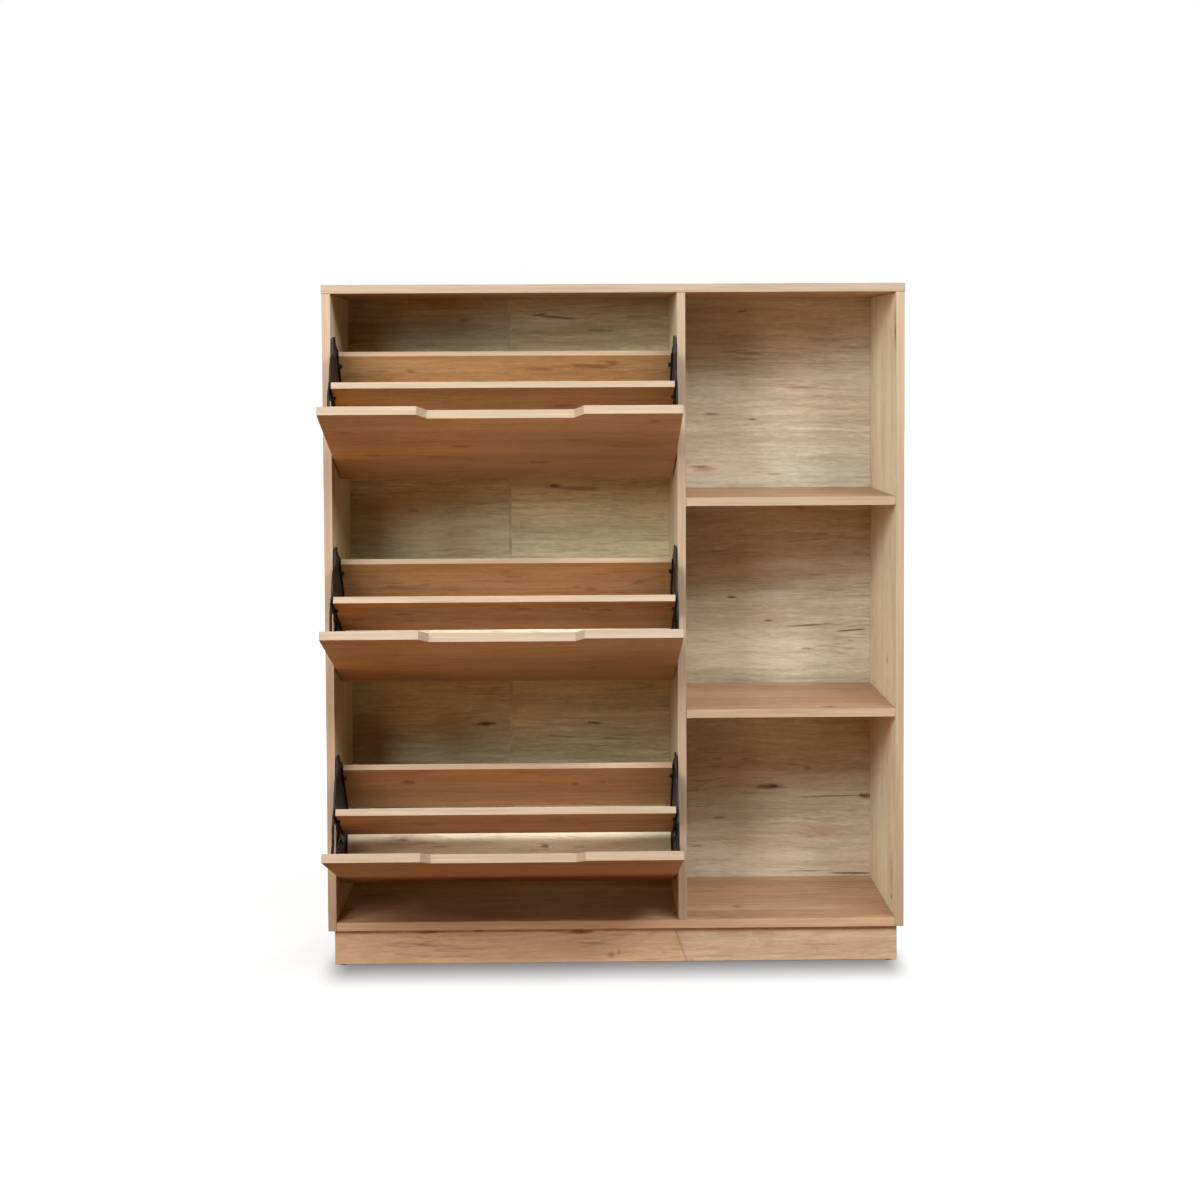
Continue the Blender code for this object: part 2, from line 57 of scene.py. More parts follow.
# ---------------------------------------------------------------- node graphs
class Graph:
    """Short calls that build a node tree."""

    def __init__(self, tree):
        self.tree = tree

    def add(self, kind, inputs=None, **settings):
        made = self.tree.nodes.new(kind)
        for name, value in settings.items():
            setattr(made, name, value)
        for key, value in (inputs or {}).items():
            if isinstance(value, bpy.types.NodeSocket):
                self.tree.links.new(value, made.inputs[key])
            else:
                made.inputs[key].default_value = value
        return made

    def math(self, operation, a, b=0.0):
        return self.add("ShaderNodeMath", {0: a, 1: b}, operation=operation).outputs[0]

    def scaled(self, vector, factors):
        return self.add("ShaderNodeVectorMath", {0: vector, 1: factors}, operation="MULTIPLY").outputs[0]

    def moved(self, vector, offset):
        return self.add("ShaderNodeVectorMath", {0: vector, 1: offset}, operation="ADD").outputs[0]

    def dot(self, a, b):
        return self.add("ShaderNodeVectorMath", {0: a, 1: b}, operation="DOT_PRODUCT").outputs["Value"]

    def length(self, vector):
        return self.add("ShaderNodeVectorMath", {0: vector}, operation="LENGTH").outputs["Value"]

    def noise(self, vector, detail=2.0, roughness=0.5):
        inputs = {"Vector": vector, "Scale": 1.0, "Detail": detail, "Roughness": roughness}
        return self.add("ShaderNodeTexNoise", inputs).outputs[0]

    def ease(self, value, low, high, start=0.0, end=1.0):
        """A smooth step from start at low to end at high."""
        made = self.add(
            "ShaderNodeMapRange",
            {0: value, 1: low, 2: high, 3: start, 4: end},
            interpolation_type="SMOOTHSTEP",
        )
        return made.outputs[0]

    def mix(self, factor, a, b, blend="MIX"):
        """Mixes two colours: inputs 6 and 7 and output 2 are the node's colour sockets."""
        made = self.add("ShaderNodeMix", {0: factor, 6: a, 7: b}, data_type="RGBA", blend_type=blend)
        return made.outputs[2]

    def separate(self, vector):
        return self.add("ShaderNodeSeparateXYZ", {0: vector}).outputs

    def combine(self, x, y, z):
        return self.add("ShaderNodeCombineXYZ", {0: x, 1: y, 2: z}).outputs[0]


def shade(r, g, b):
    return (r, g, b, 1.0)


def new_material(name):
    """A material with nodes, the calls that build its tree, and its shader."""
    material = bpy.data.materials.new(name)
    material.use_nodes = True
    return material, Graph(material.node_tree), material.node_tree.nodes["Principled BSDF"]


# ---------------------------------------------------------------- oak
# How far the grain swings and ripples, metres
SWAY_REACH = 0.03
RIPPLE_REACH = 0.004
# Shares of the three noises in a board's tone
BAND_SHARE = 0.42
STREAK_SHARE = 0.38
MOTTLE_SHARE = 0.20
# Rings over the whole range of the growth noise, and how much darker the figure is
RINGS = 20.0
FLAME_STRENGTH = 0.22
FIGURE_SHADE = shade(0.62, 0.50, 0.40)
PORE_STRENGTH = 0.42
PORE_COLOUR = shade(0.20, 0.115, 0.06)
DASH_STRENGTH = 0.38
DASH_SHADE = shade(0.42, 0.30, 0.24)
# The share of the cells without a pin knot, and how ragged and strong the pin knots are
CELLS_WITHOUT_KNOT = 0.62
KNOT_RAGGED = 0.16
HALO_STRENGTH = 0.45
HALO_COLOUR = shade(0.42, 0.21, 0.12)
CORE_STRENGTH = 0.7
CORE_COLOUR = shade(0.14, 0.07, 0.035)
# Heights for the bump, as parts of its full height
FIBRE_RISE = 0.4
DASH_SINK = 0.8
# How far each board's stretch of the decor lies from the last one's, and where that starts over
OFFSETS = ((1.37, 7.0), (2.11, 5.0), (0.73, 3.0))
OAK_SHINE = 0.35
OAK_ROUGH_SUNK = 0.62
OAK_ROUGH_RAISED = 0.46


def oak_decor():
    """The printed oak: u runs along the grain, v and w across it, all in metres."""
    group = bpy.data.node_groups.new("oak_decor", "ShaderNodeTree")
    face = group.interface
    face.new_socket("Grain", in_out="INPUT", socket_type="NodeSocketVector")
    for name in ("Light", "Dark", "Tint"):
        face.new_socket(name, in_out="INPUT", socket_type="NodeSocketColor")
    face.new_socket("Figure", in_out="INPUT", socket_type="NodeSocketFloat")
    face.new_socket("Color", in_out="OUTPUT", socket_type="NodeSocketColor")
    face.new_socket("Height", in_out="OUTPUT", socket_type="NodeSocketFloat")
    g = Graph(group)
    given = g.add("NodeGroupInput").outputs
    grain = given["Grain"]

    # A noise's three factors are about one over the size of its grains, in metres, along u, v and w
    sway = g.noise(g.scaled(grain, (3.0, 7.0, 7.0)), 2.0)
    lift = g.math("MULTIPLY", g.math("SUBTRACT", sway, 0.5), SWAY_REACH)
    ripple = g.noise(g.scaled(grain, (14.0, 26.0, 26.0)), 1.0)
    lift = g.math("ADD", lift, g.math("MULTIPLY", g.math("SUBTRACT", ripple, 0.5), RIPPLE_REACH))
    grain = g.moved(grain, g.combine(0.0, lift, lift))

    # Bands, streaks and mottling between the board's darker and lighter tone
    band = g.noise(g.scaled(grain, (0.9, 24.0, 24.0)), 3.0, 0.55)
    streak = g.noise(g.scaled(grain, (7.0, 130.0, 130.0)), 4.0, 0.62)
    mottle = g.noise(g.scaled(grain, (60.0, 300.0, 300.0)), 2.0)
    fibre = g.noise(g.scaled(grain, (25.0, 1100.0, 1100.0)), 2.0)
    cloud = g.noise(g.scaled(grain, (3.5, 9.0, 9.0)), 2.0)
    tone = g.math("ADD", g.math("MULTIPLY", band, BAND_SHARE), g.math("MULTIPLY", streak, STREAK_SHARE))
    tone = g.math("ADD", tone, g.math("MULTIPLY", mottle, MOTTLE_SHARE))
    colour = g.mix(g.ease(tone, 0.38, 0.62), given["Dark"], given["Light"])

    # Growth rings and flames, pinker clouds, and fine fibres
    growth = g.noise(g.scaled(grain, (1.1, 13.0, 13.0)), 1.0)
    ring = g.math("PINGPONG", g.math("MULTIPLY", growth, RINGS), 0.5)
    ring = g.ease(ring, 0.0, 0.22, given["Figure"], 0.0)
    flame = g.ease(g.noise(g.scaled(grain, (2.4, 48.0, 48.0)), 3.0), 0.55, 0.70)
    figure = g.math("MAXIMUM", ring, g.math("MULTIPLY", flame, FLAME_STRENGTH))
    colour = g.mix(figure, colour, g.mix(1.0, given["Dark"], FIGURE_SHADE, "MULTIPLY"))
    colour = g.mix(g.ease(cloud, 0.42, 0.68, 0.0, 0.55), colour, given["Tint"], "MULTIPLY")
    fibres = g.ease(fibre, 0.3, 0.7, 0.93, 1.05)
    colour = g.mix(1.0, colour, g.combine(fibres, fibres, fibres), "MULTIPLY")

    # Pores, which come in patches
    spread = g.ease(g.noise(g.scaled(grain, (5.0, 55.0, 55.0)), 1.0), 0.46, 0.66)
    pores = g.ease(g.noise(g.scaled(grain, (55.0, 1500.0, 1500.0)), 1.0), 0.58, 0.72)
    pores = g.math("MULTIPLY", pores, spread)
    colour = g.mix(g.math("MULTIPLY", pores, PORE_STRENGTH), colour, PORE_COLOUR)

    # Short dark dashes, which come in clusters
    apart = g.moved(g.scaled(grain, (3.0, 16.0, 16.0)), (7.0, 3.0, 1.0))
    cluster = g.ease(g.noise(apart, 1.0), 0.45, 0.62)
    dash = g.ease(g.noise(g.scaled(grain, (17.0, 240.0, 240.0)), 3.0), 0.54, 0.66)
    dash = g.math("MULTIPLY", dash, cluster)
    dash_colour = g.mix(1.0, given["Dark"], DASH_SHADE, "MULTIPLY")
    colour = g.mix(g.math("MULTIPLY", dash, DASH_STRENGTH), colour, dash_colour)

    # Pin knots in some of the cells of a stretched Voronoi pattern
    cell = g.add("ShaderNodeTexVoronoi", {"Vector": g.scaled(grain, (3.1, 10.5, 10.5)), "Scale": 1.0})
    pick = g.math("GREATER_THAN", g.separate(cell.outputs["Color"])[0], CELLS_WITHOUT_KNOT)
    ragged = g.math("MULTIPLY", g.noise(g.scaled(grain, (40.0, 220.0, 220.0)), 2.0), KNOT_RAGGED)
    far = g.math("ADD", cell.outputs["Distance"], ragged)
    halo = g.math("MULTIPLY", g.ease(far, 0.34, 0.12), pick)
    core = g.math("MULTIPLY", g.ease(far, 0.19, 0.10), pick)
    colour = g.mix(g.math("MULTIPLY", halo, HALO_STRENGTH), colour, HALO_COLOUR)
    colour = g.mix(g.math("MULTIPLY", core, CORE_STRENGTH), colour, CORE_COLOUR)

    # The pores and dashes are sunk a little
    height = g.math("SUBTRACT", g.math("MULTIPLY", fibre, FIBRE_RISE), pores)
    height = g.math("SUBTRACT", height, g.math("MULTIPLY", dash, DASH_SINK))
    out = g.add("NodeGroupOutput")
    group.links.new(colour, out.inputs["Color"])
    group.links.new(height, out.inputs["Height"])
    return group


# How far a mark's outline wanders, where it fades, and the hair's breadth that chains the marks
MARK_WANDER = 1.3
MARK_OUTSIDE = 1.15
MARK_INSIDE = 0.25
MARK_CHAIN = 1e-7


def oak_mark():
    """A ragged elongated spot. Reach and Rise point along its half-length and half-height, each the
    inverse of that length."""
    group = bpy.data.node_groups.new("oak_mark", "ShaderNodeTree")
    for name in ("Place", "Centre", "Reach", "Rise"):
        group.interface.new_socket(name, in_out="INPUT", socket_type="NodeSocketVector")
    group.interface.new_socket("Factor", in_out="OUTPUT", socket_type="NodeSocketFloat")
    group.interface.new_socket("Onward", in_out="OUTPUT", socket_type="NodeSocketVector")
    g = Graph(group)
    given = g.add("NodeGroupInput").outputs
    inputs = {0: given["Place"], 1: given["Centre"]}
    offset = g.add("ShaderNodeVectorMath", inputs, operation="SUBTRACT").outputs[0]
    along = g.dot(offset, given["Reach"])
    across = g.dot(offset, given["Rise"])
    seed = g.math("MULTIPLY", g.separate(given["Centre"])[0], 60.0)
    spot = g.combine(g.math("MULTIPLY", along, 2.2), g.math("MULTIPLY", across, 0.9), seed)
    wobble = g.math("SUBTRACT", g.noise(spot, 3.0, 0.6), 0.5)
    far = g.length(g.combine(along, across, 0.0))
    far = g.math("ADD", far, g.math("MULTIPLY", wobble, MARK_WANDER))
    factor = g.ease(far, MARK_OUTSIDE, MARK_INSIDE)
    out = g.add("NodeGroupOutput")
    group.links.new(factor, out.inputs["Factor"])
    # The place is handed on with the factor in it, so that Cycles works the marks out one after another
    # and doesn't run out of room for them
    nudge = g.math("MULTIPLY", factor, MARK_CHAIN)
    group.links.new(g.moved(given["Place"], g.combine(nudge, 0.0, 0.0)), out.inputs["Onward"])
    return group


OAK = oak_decor()
MARK = oak_mark()

# The foils: lighter tone, darker tone, tint of the pinker patches, and strength of the ring figure
# Several foils are lit and shaded copies of one oak: warm (the level boards) is darker and warmer as
# painted shade, pale (the right side)
# and lining (the racks' floor boards) are lighter as painted light, and door and rack are darker and more
# orange, partly painted shade and partly their own tone
FACES = {
    "warm": (shade(0.575, 0.37, 0.22), shade(0.42, 0.255, 0.145), shade(0.98, 0.86, 0.80), 0.16),
    "rack": (shade(0.60, 0.345, 0.15), shade(0.44, 0.24, 0.096), shade(0.98, 0.86, 0.80), 0.08),
    "door": (shade(0.60, 0.38, 0.195), shade(0.44, 0.264, 0.125), shade(0.98, 0.86, 0.80), 0.08),
    "side": (shade(0.775, 0.665, 0.45), shade(0.605, 0.505, 0.325), shade(0.98, 0.88, 0.84), 0.14),
    "pale": (shade(0.87, 0.79, 0.59), shade(0.74, 0.65, 0.47), shade(0.98, 0.88, 0.84), 0.14),
    "back": (shade(0.68, 0.65, 0.525), shade(0.48, 0.43, 0.32), shade(1.0, 0.86, 0.80), 0.14),
    "back_left": (shade(0.77, 0.69, 0.455), shade(0.53, 0.445, 0.265), shade(1.0, 0.86, 0.80), 0.14),
    "lining": (shade(0.95, 0.87, 0.66), shade(0.84, 0.74, 0.54), shade(0.98, 0.88, 0.84), 0.08),
    "plinth": (shade(0.68, 0.485, 0.295), shade(0.535, 0.365, 0.215), shade(0.98, 0.86, 0.80), 0.20),
}
# The edge bands, and the raw hardboard on the back sheets' rear
BAND_LIGHT = shade(0.475, 0.365, 0.26)
BAND_DARK = shade(0.405, 0.305, 0.207)
RAW_LIGHT = shade(0.445, 0.31, 0.192)
RAW_DARK = shade(0.365, 0.248, 0.15)
SPECK_SHADE = shade(0.55, 0.5, 0.45)

# Tints that bring single boards' foils and edge bands to their tone in the photo
# These are painted light and shade: each board's foil is lightened, darkened or warmed for the light and
# shade that fall on it
FOIL_PAINTED_LIGHT = {
    "back_panel_left": shade(0.93, 0.94, 0.94),
    "back_panel_middle": shade(1.03, 1.04, 1.03),
    "rack_1_rear_board": shade(1.02, 1.10, 1.15),
    "rack_2_rear_board": shade(0.91, 0.92, 0.91),
    "rack_3_rear_board": shade(0.86, 0.82, 0.78),
    "rack_1_mid_board": shade(1.14, 1.02, 0.78),
    "rack_2_mid_board": shade(1.09, 1.01, 0.82),
    "rack_3_mid_board": shade(1.01, 1.04, 1.10),
}
# These are painted light and shade on single edge bands: the bottom panel's and the lower shelf's are
# lighter and warmer as painted warm light from below
BAND_PAINTED_LIGHT = {
    "top_panel": shade(0.94, 0.97, 0.97),
    "bottom_panel": shade(1.28, 1.15, 1.02),
    "shelf_lower": shade(1.15, 1.11, 1.05),
    "side_panel_right": shade(1.05, 1.05, 1.05),
    "rack_1_door": shade(0.93, 0.95, 0.93),
    "rack_2_door": shade(0.94, 0.98, 1.0),
    "rack_1_rear_board": shade(0.99, 0.95, 0.90),
    "rack_3_rear_board": shade(1.13, 1.08, 1.04),
}

# Where a slanted crack parts two prints on a board: metres from its middle, its lean, and the tint of
# the print beyond it
SPLITS = {"plinth_front": (0.114, -0.36, shade(1.0, 1.10, 1.25))}
CRACK_HALF_WIDTH = 0.0025
CRACK_STRENGTH = 0.4
CRACK_WANDER = 0.006
# The far print fades in from here to there, metres past the crack's middle
FAR_PRINT_FROM = -0.002
FAR_PRINT_TO = 0.004

# The colour of each kind of mark
MARK_COLOURS = {
    "dash": shade(0.115, 0.065, 0.035),
    "red": shade(0.20, 0.075, 0.03),
    "pink": shade(0.78, 0.44, 0.34),
    "knot": shade(0.34, 0.11, 0.06),
}
# A knot's pink halo: how many times the knot's own size, and its share of the knot's strength
HALO_SIZE = 2.3
HALO_SHARE = 0.6
# How deep a mark is sunk, as a part of the bump's full height
MARK_SINK = 0.5

# Knots and dashes, about where the photo has its large ones: metres along the grain and across it from
# the board's middle, length, height, slope, strength, kind
MARKS = {
    "back_panel_right": (
        # The first, a broad faint red-brown patch at the top left, is painted shade: the browner tone where
        # the top panel and the divider shade the back
        (-0.100, -0.490, 0.300, 0.120, 0.00, 0.20, "red"),
        (-0.130, -0.230, 0.050, 0.013, 0.00, 0.50, "knot"),
        (-0.140, -0.235, 0.045, 0.006, 0.00, 0.60, "dash"),
        (-0.060, -0.530, 0.025, 0.006, 0.00, 0.70, "dash"),
        (-0.040, -0.450, 0.055, 0.009, 0.00, 0.40, "dash"),
        (0.040, -0.385, 0.060, 0.014, 0.00, 0.40, "pink"),
        (0.050, -0.385, 0.085, 0.007, 0.00, 0.45, "dash"),
        (-0.120, -0.335, 0.040, 0.006, 0.00, 0.70, "dash"),
        (-0.040, -0.325, 0.020, 0.006, 0.00, 0.60, "dash"),
        (0.000, -0.220, 0.035, 0.005, 0.00, 0.50, "dash"),
        (-0.120, 0.130, 0.200, 0.060, 0.00, 0.10, "pink"),
        (0.090, -0.105, 0.035, 0.006, 0.00, 0.40, "dash"),
        (0.000, -0.005, 0.130, 0.014, 0.00, 0.25, "dash"),
        (-0.080, 0.015, 0.020, 0.006, 0.00, 0.90, "dash"),
        (-0.010, 0.060, 0.020, 0.006, 0.00, 0.70, "dash"),
        (0.065, 0.070, 0.100, 0.004, -0.06, 0.90, "dash"),
        (0.150, 0.080, 0.070, 0.004, -0.06, 0.90, "dash"),
        (0.145, 0.115, 0.030, 0.010, 0.00, 0.25, "red"),
        (0.065, 0.115, 0.030, 0.005, 0.00, 0.60, "dash"),
        (0.065, 0.345, 0.020, 0.010, 0.00, 0.45, "dash"),
        (-0.010, 0.380, 0.070, 0.013, 0.00, 0.75, "dash"),
        (0.000, 0.380, 0.020, 0.009, 0.00, 0.90, "dash"),
        (0.110, 0.400, 0.140, 0.004, -0.02, 0.80, "dash"),
        (0.175, 0.400, 0.030, 0.012, 0.00, 0.90, "dash"),
        (-0.105, 0.440, 0.035, 0.005, 0.00, 0.60, "dash"),
        (-0.150, 0.495, 0.030, 0.004, -0.05, 0.60, "dash"),
        (0.065, 0.545, 0.100, 0.003, 0.00, 0.75, "dash"),
        (0.150, 0.550, 0.100, 0.005, 0.02, 0.90, "dash"),
    ),
    "shelf_lower": (
        (0.070, -0.125, 0.040, 0.018, 0.00, 0.60, "dash"),
    ),
    "bottom_panel": (
        (0.220, -0.065, 0.030, 0.018, 0.00, 0.50, "dash"),
    ),
    "side_panel_right": (
        (-0.100, 0.060, 0.020, 0.018, 0.00, 0.60, "dash"),
        (-0.520, 0.110, 0.010, 0.018, 0.00, 0.75, "dash"),
    ),
    "back_panel_middle": (
        (-0.060, -0.520, 0.100, 0.006, 0.08, 0.80, "dash"),
        (-0.095, -0.525, 0.035, 0.006, -0.10, 0.60, "dash"),
        (0.020, -0.495, 0.065, 0.006, 0.05, 0.45, "dash"),
        (-0.070, -0.200, 0.030, 0.011, 0.00, 0.75, "dash"),
        (-0.030, -0.195, 0.130, 0.011, 0.03, 0.45, "dash"),
        (0.005, 0.255, 0.035, 0.008, 0.00, 0.80, "dash"),
        (-0.060, 0.280, 0.085, 0.006, 0.05, 0.40, "dash"),
    ),
    "back_panel_left": (
        (0.070, -0.515, 0.035, 0.009, 0.00, 0.45, "dash"),
        (-0.030, -0.155, 0.035, 0.009, 0.00, 0.45, "dash"),
        (0.105, 0.255, 0.055, 0.008, 0.00, 0.90, "dash"),
        (0.105, 0.255, 0.020, 0.014, 0.00, 0.60, "dash"),
    ),
    "rack_1_rear_board": (
        (0.155, -0.030, 0.100, 0.018, 0.02, 0.60, "red"),
        (0.190, -0.040, 0.030, 0.015, 0.00, 0.60, "red"),
        (0.060, -0.025, 0.060, 0.011, 0.00, 0.45, "red"),
        (0.145, 0.005, 0.040, 0.008, 0.00, 0.45, "red"),
        (-0.170, -0.020, 0.020, 0.011, 0.00, 0.45, "red"),
    ),
    "rack_2_rear_board": (
        (0.150, 0.015, 0.030, 0.017, 0.00, 0.55, "red"),
        (0.240, -0.005, 0.035, 0.015, -0.30, 0.50, "red"),
        (0.125, 0.010, 0.020, 0.008, 0.00, 0.45, "red"),
        (0.000, -0.035, 0.025, 0.010, 0.00, 0.40, "red"),
        (-0.205, 0.005, 0.040, 0.010, 0.00, 0.40, "red"),
    ),
    "rack_2_mid_board": (
        (0.175, -0.030, 0.030, 0.018, 0.00, 0.60, "red"),
        (0.140, -0.040, 0.025, 0.018, 0.00, 0.40, "red"),
        (-0.180, -0.015, 0.045, 0.018, 0.00, 0.45, "red"),
    ),
    "rack_3_rear_board": (
        (-0.180, -0.020, 0.035, 0.018, 0.00, 0.75, "red"),
        (0.120, -0.010, 0.015, 0.014, 0.00, 0.70, "red"),
        (0.170, -0.015, 0.015, 0.009, 0.00, 0.45, "red"),
    ),
    "rack_3_floor_board": (
        (0.065, -0.013, 0.020, 0.009, 0.00, 0.75, "dash"),
        (-0.125, -0.012, 0.040, 0.004, 0.00, 0.45, "dash"),
    ),
    "plinth_front": (
        (-0.445, -0.028, 0.060, 0.006, 0.00, 0.60, "red"),
        (-0.335, -0.025, 0.065, 0.006, 0.00, 0.75, "red"),
        (-0.245, -0.027, 0.025, 0.005, 0.00, 0.60, "red"),
        (-0.065, -0.023, 0.065, 0.009, 0.00, 0.90, "red"),
        (-0.010, 0.019, 0.015, 0.013, 0.00, 0.50, "red"),
        (0.005, 0.013, 0.005, 0.018, 0.00, 0.50, "red"),
        (-0.320, -0.002, 0.120, 0.008, 0.04, 0.30, "dash"),
        (-0.045, -0.003, 0.080, 0.006, 0.06, 0.40, "dash"),
        (0.360, 0.003, 0.100, 0.005, 0.00, 0.30, "dash"),
    ),
    "rack_1_door": (
        (-0.075, -0.010, 0.050, 0.018, 0.03, 0.60, "red"),
        (0.060, 0.085, 0.045, 0.018, 0.00, 0.50, "red"),
        (-0.265, -0.085, 0.045, 0.018, 0.00, 0.45, "red"),
        (0.255, -0.140, 0.025, 0.018, 0.00, 0.45, "red"),
        (-0.230, 0.040, 0.040, 0.018, 0.00, 0.40, "red"),
        (0.195, -0.010, 0.035, 0.018, 0.00, 0.40, "red"),
        (0.125, -0.040, 0.060, 0.018, 0.00, 0.30, "red"),
    ),
    "rack_2_door": (
        (0.150, 0.065, 0.030, 0.018, 0.00, 0.40, "red"),
        (-0.180, -0.055, 0.040, 0.018, 0.00, 0.30, "red"),
    ),
}


def board_axes(name, along, thickness):
    """A board's grain direction, the direction across the grain in its face, and its middle."""
    grain = Vector([float(axis == along) for axis in "XYZ"])
    corners = [Vector(corner) for corner in NODES[name].bound_box]
    return grain, thickness.cross(grain), sum(corners, Vector()) / len(corners)


def add_mark(g, place, centre, reach, rise, strength, paint, colour):
    """Paints one spot. Returns the colour, the spot's factor and the place for the next spot."""
    mark = g.add("ShaderNodeGroup", node_tree=MARK)
    g.tree.links.new(place, mark.inputs["Place"])
    for key, value in zip(("Centre", "Reach", "Rise"), (centre, reach, rise)):
        mark.inputs[key].default_value = value
    factor = g.math("MULTIPLY", mark.outputs["Factor"], strength)
    return g.mix(factor, colour, MARK_COLOURS[paint]), factor, mark.outputs["Onward"]


def add_marks(g, place, name, along, thickness, colour, height):
    """Adds a board's own knots and dashes to its decor."""
    grain, across, middle = board_axes(name, along, thickness)
    for u, v, length, tall, slope, strength, kind in MARKS.get(name, ()):
        centre = middle + grain * u + across * v
        reach = grain * 2.0 / length
        rise = (across - grain * slope) * 2.0 / tall
        if kind == "knot":
            colour, _, place = add_mark(
                g, place, centre, reach / HALO_SIZE, rise / HALO_SIZE, strength * HALO_SHARE, "pink", colour
            )
        colour, factor, place = add_mark(g, place, centre, reach, rise, strength, kind, colour)
        height = g.math("SUBTRACT", height, g.math("MULTIPLY", factor, MARK_SINK))
    return colour, height


def add_split(g, place, name, along, thickness, colour):
    """Parts a board's print at a slanted crack."""
    offset, lean, tint = SPLITS[name]
    grain, across, middle = board_axes(name, along, thickness)
    wander = g.math("SUBTRACT", g.noise(g.scaled(place, (160.0, 160.0, 160.0)), 2.0), 0.5)
    beyond = g.dot(g.moved(place, -middle), grain + across * lean)
    beyond = g.math("ADD", beyond, g.math("MULTIPLY", wander, CRACK_WANDER))
    beyond = g.math("SUBTRACT", beyond, offset)
    far_print = g.mix(1.0, colour, tint, "MULTIPLY")
    colour = g.mix(g.ease(beyond, FAR_PRINT_FROM, FAR_PRINT_TO), colour, far_print)
    crack = g.ease(g.math("ABSOLUTE", beyond), CRACK_HALF_WIDTH, 0.0, 0.0, CRACK_STRENGTH)
    return g.mix(crack, colour, MARK_COLOURS["red"])


def add_raw_rear(g, place, facing, printed):
    """The foil covers a back sheet's front only: its rear is raw hardboard."""
    pulp = g.noise(g.scaled(place, (26.0, 26.0, 60.0)), 8.0, 0.72)
    specks = g.noise(g.scaled(place, (520.0, 520.0, 520.0)), 2.0)
    raw = g.mix(g.ease(pulp, 0.34, 0.66), RAW_DARK, RAW_LIGHT)
    raw = g.mix(g.ease(specks, 0.62, 0.74, 0.0, 0.55), raw, g.mix(1.0, RAW_DARK, SPECK_SHADE, "MULTIPLY"))
    return g.mix(g.ease(facing, 0.5, 0.9), printed, raw)


def oak(name, along, seed, thickness, face):
    """A board's own oak finish: along is its grain's axis and thickness the way across the board."""
    material, g, shader = new_material(name)
    coordinates = g.add("ShaderNodeTexCoord").outputs
    place = coordinates["Object"]
    x, y, z = g.separate(place)
    order = {"X": (x, y, z), "Y": (y, x, z), "Z": (z, x, y)}[along]
    # Each board is cut from its own stretch of the decor
    offset = [(seed * step) % span for step, span in OFFSETS]
    grain = g.moved(g.combine(*order), offset)
    decor = g.add("ShaderNodeGroup", node_tree=OAK)
    for key, value in zip(("Light", "Dark", "Tint", "Figure"), FACES[face]):
        decor.inputs[key].default_value = value
    g.tree.links.new(grain, decor.inputs["Grain"])
    height = decor.outputs["Height"]
    facing = g.dot(coordinates["Normal"], thickness)
    # A board's two faces carry the foil, and its edges carry the band
    on_face = g.ease(g.math("ABSOLUTE", facing), 0.8, 0.95)
    fleck = g.noise(g.scaled(grain, (6.0, 260.0, 260.0)), 3.0, 0.6)
    band = g.mix(g.ease(fleck, 0.35, 0.65), BAND_DARK, BAND_LIGHT)
    printed = decor.outputs["Color"]
    # Painted light and shade on single boards' foils
    if name in FOIL_PAINTED_LIGHT:
        printed = g.mix(1.0, printed, FOIL_PAINTED_LIGHT[name], "MULTIPLY")
    # Painted light and shade on single boards' edge bands
    if name in BAND_PAINTED_LIGHT:
        band = g.mix(1.0, band, BAND_PAINTED_LIGHT[name], "MULTIPLY")
    if name in SPLITS:
        printed = add_split(g, place, name, along, thickness, printed)
    printed, height = add_marks(g, place, name, along, thickness, printed, height)
    if face.startswith("back"):
        printed = add_raw_rear(g, place, facing, printed)
    colour = g.mix(on_face, band, printed)
    rough = g.ease(height, -0.6, 0.4, OAK_ROUGH_SUNK, OAK_ROUGH_RAISED)
    bump = g.add("ShaderNodeBump", {"Strength": 0.25, "Distance": 0.0004, "Height": height})
    g.tree.links.new(colour, shader.inputs["Base Color"])
    g.tree.links.new(rough, shader.inputs["Roughness"])
    g.tree.links.new(bump.outputs[0], shader.inputs["Normal"])
    shader.inputs["Specular IOR Level"].default_value = OAK_SHINE
    return material


# ---------------------------------------------------------------- plastic and steel
FRAME_BLACK = (0.012, 0.012, 0.0122)
FRAME_SHINE = 0.28
STEEL = (0.05, 0.05, 0.052)
GLIDE_BLACK = (0.02, 0.02, 0.02)
STRIP_CREAM = (0.50, 0.425, 0.29)
# How far a plain finish swings about its colour and its roughness, and the fine noise's share in that
DARKER = 0.75
LIGHTER = 1.3
ROUGH_SWING = 0.08
FINE_SHARE = 0.4


